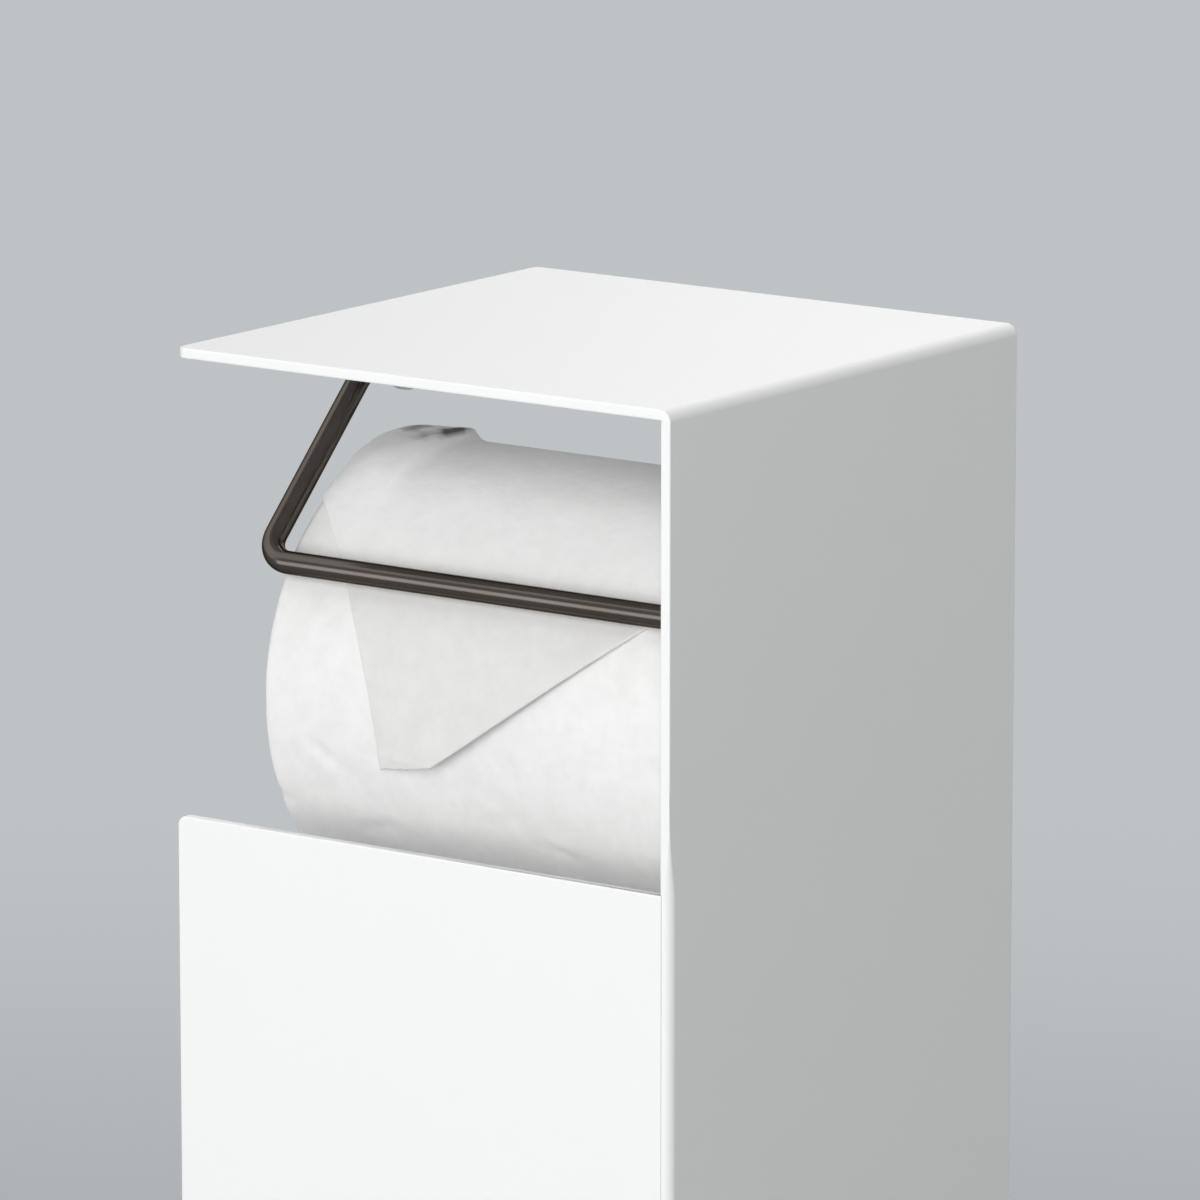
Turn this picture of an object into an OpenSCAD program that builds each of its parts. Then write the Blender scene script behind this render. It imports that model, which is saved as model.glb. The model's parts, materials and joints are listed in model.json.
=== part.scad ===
// Free-standing toilet paper stand.
// One folded sheet makes the right side, the top, the front and the floor. The left and the back stay open.
// The roll hangs on an axle that stands out from the side.
// A rod bail hangs from the top and lies on the roll.
// Spare rolls stand one on another around an upright post.
// Origin: middle of the footprint, on the floor. +X is right, +Y is back, +Z is up. Millimetres.

/* [Folded sheet] */
// Overall height, from the floor to the top face
stand_h = 600; // [570:1:700]
// Overall depth, from the front face to the back edge
stand_d = 140; // [136:1:170]
// Width of the front panel, from its free edge to the side face
front_w = 140.8; // [140:0.1:170]
// Reach of the top plate, from the side face to its free edge
top_w = 140; // [138:0.1:170]
// Thickness of the sheet with its coating
sheet_t = 2.6; // [2.4:0.1:3.4]
// Outer radius of the folds
fold_out = 2.9; // [1.2:0.1:4]
// Inner radius of the folds
fold_in = 0.3; // [0.2:0.1:2]
// Rounding of the free corners of the sheet
corner_r = 2.4; // [1:0.1:8]
// Height of the open window, from the top face to the upper edge of the front panel
window_h = 110.9; // [102:0.1:122]
// Gap left past the sheet's thickness in the corner where the folds of the floor and the front meet
relief = 0.5; // [0.3:0.1:2]

/* [Paper roll] */
// Width of the paper roll
roll_w = 115; // [95:0.5:116]
// Diameter of the wound paper
roll_d = 108.6; // [86:0.2:112]
// Rounding of the roll's soft outer edges
roll_edge_r = 2; // [0.5:0.1:4]
// Bore of the cardboard core
core_bore = 38; // [36:0.5:42]
// Wall of the cardboard core
core_wall = 1.2; // [0.8:0.1:2]
// Gap between the roll and the inner face of the side panel
roll_gap = 10.4; // [8:0.1:20]
// Thickness of the folded end of the paper, with the layers folded under
tip_t = 0.5; // [0.4:0.1:1]
// Gap between the folded end and the wound paper that it lies on
tip_play = 0.1; // [0.05:0.05:0.3]
// Lowest point of the folded end below the roll's axis
tip_drop = 12.2; // [8:0.1:24]
// Distance of the point of the folded end from the left end of the roll
tip_left = 36.5; // [30:0.5:44]
// Width of the blunt point of the folded end
tip_blunt = 13; // [6:0.5:20]
// How far the blunt point rises from its left corner to its right corner
tip_rise = 3.5; // [0:0.5:8]
// Height above the roll's axis at which the right slant of the folded end reaches the roll's end
tip_right_h = 36; // [20:0.1:44]
// Depth below the roll's top at which the left fold of the folded end reaches the roll's end
tip_left_drop = 6; // [1:0.5:12]
// How far the left fold bows up above a straight line, halfway along
tip_bow = 11; // [0:0.1:14]
// Angle, from straight forward and up over the roll, at which the folded end joins the wound paper
tip_over = 102; // [92:1:120]

/* [Axle] */
// Depth of the axle's centre below the top face
axle_drop = 75.8; // [74:0.1:86]
// Outer diameter of the axle tube
axle_d = 20; // [16:0.5:24]
// Wall of the axle tube
axle_wall = 1.5; // [1:0.1:2.5]
// Distance of the axle's free end inside the left end of the roll
axle_inset = 6; // [2:0.5:12]
// Gap between the top of the axle and the core that hangs on it
hang_gap = 0.3; // [0.2:0.1:0.6]
// Diameter of the stud that holds the axle
axle_stud_d = 8; // [6:1:10]
// Length of the stud that holds the axle
axle_stud_len = 16; // [10:1:24]

/* [Bail] */
// Diameter of the bail's rod
rod_d = 5.5; // [4.5:0.5:6.5]
// Length of a leg, from the pivot to the centre of the front bar
leg_len = 59.5; // [58:0.1:61]
// Centre line radius of the four bends in the rod
rod_bend_r = 7.5; // [6:0.5:10]
// Gap between the left leg and the roll's end
leg_gap = 1.2; // [1:0.1:6]
// Gap between the right leg and the side panel
side_gap = 3.5; // [2:0.1:8]
// Gap between the front bar and the paper that it rests on
rest_gap = 0.3; // [0.2:0.1:0.6]
// Distance of the pivot behind the front face
pivot_back = 63.7; // [61:0.1:68]
// Depth of the pivot below the top face
pivot_drop = 10.3; // [9.8:0.1:11]
// Straight length of each pivot pin
pin_len = 7.6; // [6:0.1:10]

/* [Pivot brackets] */
// Thickness of the brackets
bracket_t = 2; // [1.5:0.1:2.5]
// Length of the bracket's foot along the stand's depth
bracket_len = 26; // [24:1:34]
// Width of the bracket's foot
foot_w = 16; // [14:1:22]
// Radius of the rounded end of the bracket's ear
ear_r = 7; // [6.5:0.1:9]
// Inner diameter of the bush less the diameter of the rod
bush_play = 0.1; // [0.04:0.02:0.2]
// Wall of the bush
bush_wall = 1; // [0.8:0.1:1.5]
// Thickness of the bush's flange
flange_t = 1; // [0.6:0.1:1.2]
// Gap between the bush's flange and the bend in the bail's leg
flange_gap = 1; // [0.6:0.1:1.6]
// How far the bush's flange stands out around its barrel
flange_rim = 1.5; // [1:0.1:2]
// Diameter of the studs that hold the brackets
stud_d = 4; // [3:1:5]
// Length of the studs below the top plate
stud_len = 7; // [6:0.5:10]
// Gap around a stud in the bracket's foot
stud_play = 0.3; // [0.2:0.1:0.5]
// Distance between the two studs of a bracket
stud_pitch = 16; // [14:1:20]
// Width of a nut across its flats
nut_af = 7; // [5.5:0.5:8]
// Height of a nut
nut_h = 3.2; // [2.4:0.1:4]

/* [Ballast and floor] */
// Thickness of the ballast plate
ballast_t = 8; // [6:1:20]
// Gap between the ballast plate and the front and side panels
ballast_gap = 2; // [1.2:0.1:4]
// Distance of the ballast plate from the open edges of the floor
ballast_inset = 4; // [2:0.5:10]
// Rounding of the ballast plate's corners
ballast_r = 3; // [1:0.5:8]
// Distance of the ballast screws from the edges of the ballast plate
screw_inset = 26; // [24:1:40]
// Diameter of the ballast screws
screw_d = 5; // [4:1:6]
// Head diameter of the ballast screws
screw_head_d = 9.6; // [8:0.2:10]
// Length of the ballast screws inside the ballast plate
screw_len = 7; // [5:0.5:7.5]
// Width across the flats of the socket in a ballast screw
screw_key = 3; // [2:0.5:3]
// Depth of the sockets in the ballast screws and in the post's bolt
socket_depth = 1.6; // [1:0.1:2]
// Height of the rubber pads
pad_h = 3; // [2:0.5:8]
// Diameter of the rubber pads
pad_d = 18; // [12:1:20]
// Distance of the pads' centres from the edges of the floor
pad_inset = 14; // [12:1:16]

/* [Post for spare rolls] */
// Length of the post above the ballast plate
post_h = 300; // [200:1:320]
// Outer diameter of the post
post_d = 20; // [16:0.5:30]
// Wall of the post's tube
post_wall = 1.5; // [1:0.1:2.5]
// Diameter of the bolt that holds the post
post_bolt_d = 8; // [6:1:10]
// Head diameter of that bolt
post_head_d = 15; // [13:0.5:16]
// Length of that bolt inside the post
post_bolt_len = 14; // [10:1:20]
// Width across the flats of the socket in that bolt
post_key = 5; // [4:1:6]

/* [Plugs] */
// Length of the threaded plugs in the tubes
insert_len = 18; // [14:1:26]
// Thickness of the visible rim of the end plugs
cap_rim = 2; // [1:0.5:4]
// Length of the end plugs inside the tubes
cap_len = 8; // [5:1:14]
// Bevel on the rim of the end plugs
cap_bevel = 0.8; // [0.4:0.1:1]
// How far the rim of an end plug stays inside the tube's outer face
cap_setback = 0.3; // [0.1:0.1:0.8]

/* [Hidden] */
$fn = 96;
// Small overlap of a cutting shape past the face that it cuts
cut = 1;
// Side of the notch in that corner
notch = max(fold_out, sheet_t) + relief;
// Outer face of the side panel, and its inner face
side_x = front_w / 2;
inner_x = side_x - sheet_t;
// Outer face of the front panel, and the back edge of the sheet
front_y = -stand_d / 2;
back_y = stand_d / 2;
// Underside and upper side of the floor, and upper side of the ballast plate
floor_z = pad_h;
floor_top = floor_z + sheet_t;
ballast_top = floor_top + ballast_t;
// Upper edge of the front panel, and underside of the top plate
front_top = stand_h - window_h;
top_under = stand_h - sheet_t;
// Axle and roll
axle_z = stand_h - axle_drop;
axle_bore = axle_d - 2 * axle_wall;
core_out = core_bore + 2 * core_wall;
roll_z = axle_z - (core_bore - axle_d) / 2 + hang_gap;
roll_right = inner_x - roll_gap;
roll_left = roll_right - roll_w;
axle_len = roll_gap + roll_w - axle_inset;
tip_r = roll_d / 2 + tip_play + tip_t;
// Bail: its pivot, its legs, and the angle at which its front bar rests on the roll
pivot_y = front_y + pivot_back;
pivot_z = stand_h - pivot_drop;
leg_right = inner_x - side_gap - rod_d / 2;
leg_left = roll_left - leg_gap - rod_d / 2;
rest_r = tip_r + rest_gap + rod_d / 2;
to_roll = norm([pivot_y, pivot_z - roll_z]);
roll_dir = atan2(pivot_y, pivot_z - roll_z);
rest_angle = acos((leg_len ^ 2 + to_roll ^ 2 - rest_r ^ 2) / (2 * leg_len * to_roll)) + roll_dir;
// Brackets: the bush, the ears' inner faces and the studs
bush_in = rod_d + bush_play;
bush_out = bush_in + 2 * bush_wall;
flange_out = bush_out + 2 * flange_rim;
// Distance of an ear's outer face from the centre line of its leg
ear_off = rod_bend_r + flange_t + flange_gap;
stud_off = bracket_t + foot_w / 2;
// Ballast plate
ballast_left = side_x - front_w + ballast_inset;
ballast_right = inner_x - ballast_gap;
ballast_front = front_y + sheet_t + ballast_gap;
ballast_back = back_y - ballast_inset;
screw_cone = (screw_head_d - screw_d) / 2;
post_cone = (post_head_d - post_bolt_d) / 2;
post_bore = post_d - 2 * post_wall;

// Shared shapes

// Rod along +X from the origin
module rod_x(d, length) {
    rotate([0, 90, 0]) cylinder(d = d, h = length);
}

// Rectangle from the origin to [w, d] with its corner at the origin rounded
module round_corner(w, d, r) {
    translate([r, 0]) square([w - r, d]);
    translate([0, r]) square([w, d - r]);
    translate([r, r]) circle(r);
}

// Two strips of the sheet along +X and +Y with the fold between them, and the outer corner at the origin
module fold(x_reach, y_reach, length) {
    linear_extrude(length) difference() {
        round_corner(x_reach, y_reach, fold_out);
        translate([sheet_t, sheet_t]) round_corner(x_reach, y_reach, fold_in);
    }
}

// Flat plate from [0, 0] to [w, d] with rounded corners at x = 0
module free_plate(w, d, r) {
    linear_extrude(sheet_t) {
        translate([r, 0]) square([w - r, d]);
        translate([0, r]) square([w, d - 2 * r]);
        translate([r, r]) circle(r);
        translate([r, d - r]) circle(r);
    }
}

// Countersunk screw, head down, with the head's face at z = 0
module countersunk(d, head_d, length, key) {
    cone = (head_d - d) / 2;
    difference() {
        union() {
            cylinder(d1 = head_d, d2 = d, h = cone);
            translate([0, 0, cone]) cylinder(d = d, h = length - cone);
        }
        translate([0, 0, -cut]) cylinder(d = key / cos(30), h = cut + socket_depth, $fn = 6);
    }
}

// Threaded plug that fills a tube, with a bore for its stud or bolt
module threaded_plug(d, bore, length) {
    difference() {
        cylinder(d = d, h = length);
        translate([0, 0, -cut]) cylinder(d = bore, h = length + 2 * cut);
    }
}

// End plug: a bevelled rim on a barrel that fills the tube, with the rim's back face at z = 0
module end_plug(tube_d, bore) {
    rim_r = tube_d / 2 - cap_setback;
    rotate_extrude() polygon([[0, -cap_len], [bore / 2, -cap_len], [bore / 2, 0], [rim_r, 0],
        [rim_r, cap_rim - cap_bevel], [rim_r - cap_bevel, cap_rim], [0, cap_rim]]);
}

// Places of the repeated pieces

module at_screws() {
    for (x = [ballast_left + screw_inset, ballast_right - screw_inset])
        for (y = [ballast_front + screw_inset, ballast_back - screw_inset])
            translate([x, y, floor_z]) children();
}

module at_pads() {
    for (x = [pad_inset - side_x, side_x - pad_inset])
        for (y = [front_y + pad_inset, back_y - pad_inset])
            translate([x, y, 0]) children();
}

// Outer face of each bracket's ear at the pivot, with +X towards the middle of the stand
module at_left_ear() {
    translate([leg_left + ear_off, pivot_y, pivot_z]) children();
}

module at_right_ear() {
    translate([leg_right - ear_off, pivot_y, pivot_z]) mirror([1, 0, 0]) children();
}

module at_studs() {
    for (y = [-stud_pitch / 2, stud_pitch / 2])
        translate([stud_off, y, top_under - pivot_z]) children();
}

// The folded sheet: flat plates, and folds that overlap them by half of their reach

module side_wall() {
    translate([inner_x, front_y, front_top]) cube([sheet_t, stand_d, stand_h - fold_out - front_top]);
    translate([inner_x, front_y + notch, floor_z + notch])
        cube([sheet_t, stand_d - notch, stand_h - fold_out - floor_z - notch]);
}

module top_plate() {
    translate([side_x - top_w, front_y, top_under]) free_plate(top_w - fold_out, stand_d, corner_r);
    translate([side_x, back_y, stand_h]) rotate([90, 0, 0]) rotate([0, 0, 180])
        fold(top_w / 2, window_h / 2, stand_d);
}

module front_panel() {
    translate([side_x - front_w, front_y + sheet_t, floor_z]) rotate([90, 0, 0])
        free_plate(front_w - fold_out, front_top - floor_z, corner_r);
    translate([side_x, front_y, floor_z + notch]) mirror([1, 0, 0])
        fold(front_w / 2, stand_d / 2, front_top - floor_z - notch);
}

module floor_flange() {
    difference() {
        union() {
            translate([side_x - front_w, front_y + sheet_t, floor_z]) linear_extrude(sheet_t) {
                square([front_w - fold_out, stand_d - sheet_t - corner_r]);
                translate([corner_r, 0]) square([front_w - fold_out - corner_r, stand_d - sheet_t]);
                translate([corner_r, stand_d - sheet_t - corner_r]) circle(corner_r);
            }
            translate([side_x, back_y, floor_z]) rotate([90, 0, 0]) mirror([1, 0, 0])
                fold(front_w / 2, front_top / 2, stand_d - notch);
        }
        at_screws() {
            translate([0, 0, -cut]) cylinder(d = screw_d, h = sheet_t + 2 * cut);
            cylinder(d1 = screw_head_d, d2 = screw_d, h = screw_cone);
        }
    }
}

module folded_shell() {
    color("white") union() {
        side_wall();
        top_plate();
        front_panel();
        floor_flange();
    }
}

// Ballast and floor

module ballast_plate() {
    w = ballast_right - ballast_left;
    d = ballast_back - ballast_front;
    color("gainsboro") difference() {
        translate([ballast_left, ballast_front, floor_top]) linear_extrude(ballast_t) {
            translate([ballast_r, 0]) square([w - 2 * ballast_r, d]);
            translate([0, ballast_r]) square([w, d - 2 * ballast_r]);
            for (x = [ballast_r, w - ballast_r])
                for (y = [ballast_r, d - ballast_r])
                    translate([x, y]) circle(ballast_r);
        }
        at_screws() translate([0, 0, sheet_t - cut]) cylinder(d = screw_d, h = cut + screw_len);
        translate([0, 0, floor_top - cut]) cylinder(d = post_bolt_d, h = ballast_t + 2 * cut);
        translate([0, 0, floor_top]) cylinder(d1 = post_head_d, d2 = post_bolt_d, h = post_cone);
    }
}

module ballast_screws() {
    color("silver") at_screws() countersunk(screw_d, screw_head_d, sheet_t + screw_len, screw_key);
}

module floor_pads() {
    color("dimgray") at_pads() cylinder(d = pad_d, h = pad_h);
}

// Post for spare rolls

module post_tube() {
    color("silver") translate([0, 0, ballast_top]) difference() {
        cylinder(d = post_d, h = post_h);
        translate([0, 0, -cut]) cylinder(d = post_bore, h = post_h + 2 * cut);
    }
}

module post_insert() {
    color("darkgray") translate([0, 0, ballast_top]) threaded_plug(post_bore, post_bolt_d, insert_len);
}

module post_bolt() {
    color("silver") translate([0, 0, floor_top])
        countersunk(post_bolt_d, post_head_d, ballast_t + post_bolt_len, post_key);
}

module post_cap() {
    color("dimgray") translate([0, 0, ballast_top + post_h]) end_plug(post_d, post_bore);
}

// Axle

module axle_stud() {
    color("silver") translate([inner_x, 0, axle_z]) mirror([1, 0, 0]) rod_x(axle_stud_d, axle_stud_len);
}

module axle_tube() {
    color("silver") translate([inner_x - axle_len, 0, axle_z]) difference() {
        rod_x(axle_d, axle_len);
        translate([-cut, 0, 0]) rod_x(axle_bore, axle_len + 2 * cut);
    }
}

module axle_insert() {
    color("darkgray") translate([inner_x, 0, axle_z]) rotate([0, -90, 0])
        threaded_plug(axle_bore, axle_stud_d, insert_len);
}

module axle_cap() {
    color("dimgray") translate([inner_x - axle_len, 0, axle_z]) rotate([0, -90, 0])
        end_plug(axle_d, axle_bore);
}

// Brackets for the bail, drawn with the ear's outer face at x = 0 and the pivot at the origin

module bracket() {
    foot_top = top_under - pivot_z;
    difference() {
        union() {
            rod_x(2 * ear_r, bracket_t);
            translate([0, -ear_r, 0]) cube([bracket_t, 2 * ear_r, foot_top]);
            translate([0, -bracket_len / 2, foot_top - bracket_t])
                cube([bracket_t + foot_w, bracket_len, bracket_t]);
        }
        translate([-cut, 0, 0]) rod_x(bush_out, bracket_t + 2 * cut);
        at_studs() translate([0, 0, -bracket_t - cut])
            cylinder(d = stud_d + stud_play, h = bracket_t + 2 * cut);
    }
}

module bush() {
    difference() {
        union() {
            rod_x(bush_out, bracket_t);
            translate([-flange_t, 0, 0]) rod_x(flange_out, flange_t);
        }
        translate([-flange_t - cut, 0, 0]) rod_x(bush_in, bracket_t + flange_t + 2 * cut);
    }
}

module left_bracket() {
    color("silver") at_left_ear() bracket();
}

module right_bracket() {
    color("silver") at_right_ear() bracket();
}

module pivot_bushes() {
    color("dimgray") {
        at_left_ear() bush();
        at_right_ear() bush();
    }
}

module stud_pair() {
    at_studs() mirror([0, 0, 1]) cylinder(d = stud_d, h = stud_len);
}

module bracket_studs() {
    color("silver") {
        at_left_ear() stud_pair();
        at_right_ear() stud_pair();
    }
}

module nut_pair() {
    at_studs() translate([0, 0, -bracket_t - nut_h]) difference() {
        cylinder(d = nut_af / cos(30), h = nut_h, $fn = 6);
        translate([0, 0, -cut]) cylinder(d = stud_d, h = nut_h + 2 * cut);
    }
}

module bracket_nuts() {
    color("silver") {
        at_left_ear() nut_pair();
        at_right_ear() nut_pair();
    }
}

// The bail, drawn flat with its pivot on the X axis and its legs along -Y, then turned down on to the roll

// Quarter bend of the rod about the Z axis, from +X to +Y
module rod_bend() {
    rotate_extrude(angle = 90) translate([rod_bend_r, 0]) circle(d = rod_d);
}

module bail_half(half_w) {
    r = rod_bend_r;
    translate([half_w - r, -leg_len, 0]) mirror([1, 0, 0]) rod_x(rod_d, half_w - r);
    translate([half_w - r, r - leg_len, 0]) mirror([0, 1, 0]) rod_bend();
    translate([half_w, r - leg_len, 0]) rotate([-90, 0, 0]) cylinder(d = rod_d, h = leg_len - 2 * r);
    translate([half_w - r, -r, 0]) rod_bend();
    translate([half_w - r, 0, 0]) mirror([1, 0, 0]) rod_x(rod_d, pin_len);
}

module paper_bail() {
    half_w = (leg_right - leg_left) / 2;
    color("dimgray") translate([(leg_right + leg_left) / 2, pivot_y, pivot_z]) rotate([90 - rest_angle, 0, 0])
        union() {
            bail_half(half_w);
            mirror([1, 0, 0]) bail_half(half_w);
        }
}

// The paper

module at_roll() {
    translate([roll_left, 0, roll_z]) rotate([0, 90, 0]) children();
}

module roll_core() {
    color("tan") at_roll() difference() {
        cylinder(d = core_out, h = roll_w);
        translate([0, 0, -cut]) cylinder(d = core_bore, h = roll_w + 2 * cut);
    }
}

module paper_roll() {
    r = roll_edge_r;
    color("whitesmoke") at_roll() rotate_extrude() {
        translate([core_out / 2, 0]) square([(roll_d - core_out) / 2 - r, roll_w]);
        translate([roll_d / 2 - r, r]) square([r, roll_w - 2 * r]);
        translate([roll_d / 2 - r, r]) intersection() {
            circle(r);
            translate([0, -r]) square(r);
        }
        translate([roll_d / 2 - r, roll_w - r]) intersection() {
            circle(r);
            square(r);
        }
    }
}

// Outline of the folded end as seen from the front, from the roll's left end and its axis
module tip_outline() {
    left_h = tip_r - tip_left_drop;
    polygon([[tip_left, -tip_drop], [tip_left + tip_blunt, tip_rise - tip_drop], [roll_w, tip_right_h],
        [roll_w, roll_d], [0, roll_d], [0, left_h], [tip_left / 2, (left_h - tip_drop) / 2 + tip_bow]]);
}

// A thin shell over the roll, from its lowest line forward and up to its end, cut to the outline
module paper_tip() {
    color("white") intersection() {
        translate([roll_left + roll_edge_r, 0, roll_z]) rotate([0, 90, 0]) rotate([0, 0, 270 - tip_over])
            rotate_extrude(angle = tip_over + 90)
                translate([tip_r - tip_t, 0]) square([tip_t, roll_w - 2 * roll_edge_r]);
        translate([roll_left, stand_d, roll_z]) rotate([90, 0, 0]) linear_extrude(2 * stand_d) tip_outline();
    }
}

folded_shell();
ballast_plate();
ballast_screws();
floor_pads();
post_tube();
post_insert();
post_bolt();
post_cap();
axle_stud();
axle_tube();
axle_insert();
axle_cap();
left_bracket();
right_bracket();
pivot_bushes();
bracket_studs();
bracket_nuts();
paper_bail();
roll_core();
paper_roll();
paper_tip();
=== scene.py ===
import json
import math

import bmesh
import bpy
from mathutils import Matrix, Vector, noise


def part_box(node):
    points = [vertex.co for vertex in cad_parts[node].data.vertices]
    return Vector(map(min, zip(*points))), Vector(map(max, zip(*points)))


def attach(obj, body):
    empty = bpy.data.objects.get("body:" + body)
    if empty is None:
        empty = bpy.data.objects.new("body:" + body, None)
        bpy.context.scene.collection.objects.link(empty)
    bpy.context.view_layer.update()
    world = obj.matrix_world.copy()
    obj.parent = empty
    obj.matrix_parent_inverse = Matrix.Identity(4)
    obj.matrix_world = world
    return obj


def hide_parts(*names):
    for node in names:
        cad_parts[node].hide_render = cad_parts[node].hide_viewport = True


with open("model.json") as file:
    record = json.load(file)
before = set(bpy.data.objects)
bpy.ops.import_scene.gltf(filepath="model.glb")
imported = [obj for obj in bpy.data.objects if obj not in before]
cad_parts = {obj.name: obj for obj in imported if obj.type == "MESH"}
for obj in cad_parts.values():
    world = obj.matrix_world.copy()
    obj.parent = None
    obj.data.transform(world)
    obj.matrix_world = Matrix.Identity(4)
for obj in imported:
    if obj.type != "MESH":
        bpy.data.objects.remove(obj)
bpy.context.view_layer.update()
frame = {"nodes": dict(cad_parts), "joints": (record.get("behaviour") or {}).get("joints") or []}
mm = 0.001
quarter = math.pi / 2
near = 0.01 * mm                              # points closer than this count as one
sharpAngle = math.radians(50)                 # faces that turn by more than this meet in a sharp edge
sideways = Matrix.Rotation(quarter, 4, "Y")   # lays an upright piece along X
print("frame loaded")


# Where the frame puts things

def jointPlace(name):
    return next(Vector(j["pos_m"]) for j in frame["joints"] if j["name"] == name)


shellLow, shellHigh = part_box("folded_shell")
rollLow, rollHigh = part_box("paper_roll")
coreLow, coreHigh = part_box("roll_core")
bailLow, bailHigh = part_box("paper_bail")
rollCentre = jointPlace("roll_spin")
bailPivot = jointPlace("bail_swing")
rollRadius = (rollHigh.z - rollLow.z) / 2
rollWidth = rollHigh.x - rollLow.x
coreRadius = (coreHigh.y - coreLow.y) / 2


# Shader sums

class Wire:                                   # a socket that can stand in a sum
    def __init__(self, tree, socket):
        self.tree = tree
        self.socket = socket

    def __add__(self, other):
        return self.tree.sum("ADD", self, other)

    def __radd__(self, other):
        return self.tree.sum("ADD", other, self)

    def __mul__(self, other):
        return self.tree.sum("MULTIPLY", self, other)

    def __rmul__(self, other):
        return self.tree.sum("MULTIPLY", other, self)


class Tree:                                   # the nodes of a material or of the world
    def __init__(self, owner):
        owner.use_nodes = True
        self.nodes = owner.node_tree.nodes
        self.links = owner.node_tree.links

    def node(self, kind, settings, sockets, output=0):
        made = self.nodes.new(kind)
        for key, value in settings.items():
            if key == "stops":
                self.setStops(made.color_ramp, value)
            else:
                setattr(made, key, value)
        for key, value in sockets.items():
            self.plug(made.inputs[key], value)
        return Wire(self, made.outputs[output])

    def setStops(self, ramp, stops):
        while len(ramp.elements) < len(stops):
            ramp.elements.new(1)
        for element, (place, colour) in zip(ramp.elements, stops):
            element.position = place
            element.color = (*colour, 1)

    def plug(self, socket, value):
        if isinstance(value, Wire):
            self.links.new(value.socket, socket)
        else:
            socket.default_value = value

    def sum(self, operation, first, second):
        return self.node("ShaderNodeMath", {"operation": operation}, {0: first, 1: second})


class Finish(Tree):                           # one material, with the patterns it is made from
    def __init__(self, name):
        self.material = bpy.data.materials.new(name)
        super().__init__(self.material)
        self.shader = self.nodes["Principled BSDF"]
        self.object = self.node("ShaderNodeTexCoord", {}, {}, "Object")

    def set(self, **sockets):                 # sockets of the shader, with _ for a space
        for key, value in sockets.items():
            self.plug(self.shader.inputs[key.replace("_", " ")], value)

    def stretch(self, scale):
        return self.node("ShaderNodeMapping", {}, {"Vector": self.object, "Scale": scale})

    def grain(self, pattern, source=None):
        scale, detail, rough = pattern
        sockets = {"Vector": source or self.object, "Scale": scale, "Detail": detail, "Roughness": rough}
        return self.node("ShaderNodeTexNoise", {}, sockets)

    def cells(self, scale):
        sockets = {"Vector": self.object, "Scale": scale}
        return self.node("ShaderNodeTexVoronoi", {"feature": "SMOOTH_F1"}, sockets, "Distance")

    def mingle(self, first, second, share):   # the first pattern's share, and the rest from the second
        return first * share + second * (1 - share)

    def rise(self, value, low, high):         # from 0 at low to 1 at high
        return self.node("ShaderNodeMapRange", {}, {"Value": value, "From Min": low, "From Max": high})

    def tint(self, factor, dark, light):      # a colour between two, by a factor
        return self.node("ShaderNodeValToRGB", {"stops": [(0, dark), (1, light)]}, {"Fac": factor})

    def blend(self, factor, first, second):   # one colour into another
        return self.node("ShaderNodeMix", {"data_type": "RGBA"}, {0: factor, 6: first, 7: second}, 2)

    def colour(self, pattern, look):
        self.set(Base_Color=self.tint(pattern, look["dark"], look["light"]))

    def polish(self, pattern, look):
        least, more = look["rough"]
        self.set(Roughness=least + more * pattern)

    def relief(self, pattern, look):
        depth, strength = look["relief"]
        sockets = {"Height": pattern, "Distance": depth, "Strength": strength}
        self.set(Normal=self.node("ShaderNodeBump", {}, sockets))


# Mesh helpers

def vertsOf(geom):
    return [g for g in geom if isinstance(g, bmesh.types.BMVert)]


def edgesOf(geom):
    return [g for g in geom if isinstance(g, bmesh.types.BMEdge)]


def pull(bm, edges, step):                    # draws a line of edges out by a step
    made = bmesh.ops.extrude_edge_only(bm, edges=edges)["geom"]
    moved = set(vertsOf(made))
    bmesh.ops.translate(bm, verts=list(moved), vec=step)
    return [e for e in edgesOf(made) if set(e.verts) <= moved]


def swing(bm, edges, centre, angle, steps):   # draws a line of edges round an upright axis
    geom = edges + list({v for e in edges for v in e.verts})
    made = bmesh.ops.spin(bm, geom=geom, cent=centre, axis=(0, 0, 1), angle=angle, steps=steps)
    return edgesOf(made["geom_last"])


def turned(points, steps):                    # a piece turned on the Z axis from (radius, height) points
    bm = bmesh.new()
    verts = [bm.verts.new((radius, 0, height)) for radius, height in points]
    edges = [bm.edges.new(pair) for pair in zip(verts, verts[1:])]
    bmesh.ops.spin(bm, geom=verts + edges, axis=(0, 0, 1), angle=4 * quarter, steps=steps, use_merge=True)
    bmesh.ops.remove_doubles(bm, verts=bm.verts, dist=near / 10)
    bmesh.ops.recalc_face_normals(bm, faces=bm.faces)
    return bm


def roundOff(bm, edges, width, segments, clamp=False):
    made = bmesh.ops.bevel(bm, geom=edges, affect="EDGES", offset=width, offset_type="OFFSET",
                           segments=segments, profile=0.5, material=-1, clamp_overlap=clamp)
    return made["verts"]


def soften(bm, width, segments=3):            # rounds every sharp edge
    sharp = [e for e in bm.edges if e.is_manifold and e.calc_face_angle() > sharpAngle]
    roundOff(bm, sharp, width, segments, True)


def place(bm, spot, turn=Matrix()):
    bmesh.ops.transform(bm, matrix=Matrix.Translation(spot) @ turn, verts=bm.verts)


def evenShading(piece):                       # keeps the flats flat beside their rounded edges
    even = piece.modifiers.new("evenShading", "WEIGHTED_NORMAL")
    even.keep_sharp = True


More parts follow.
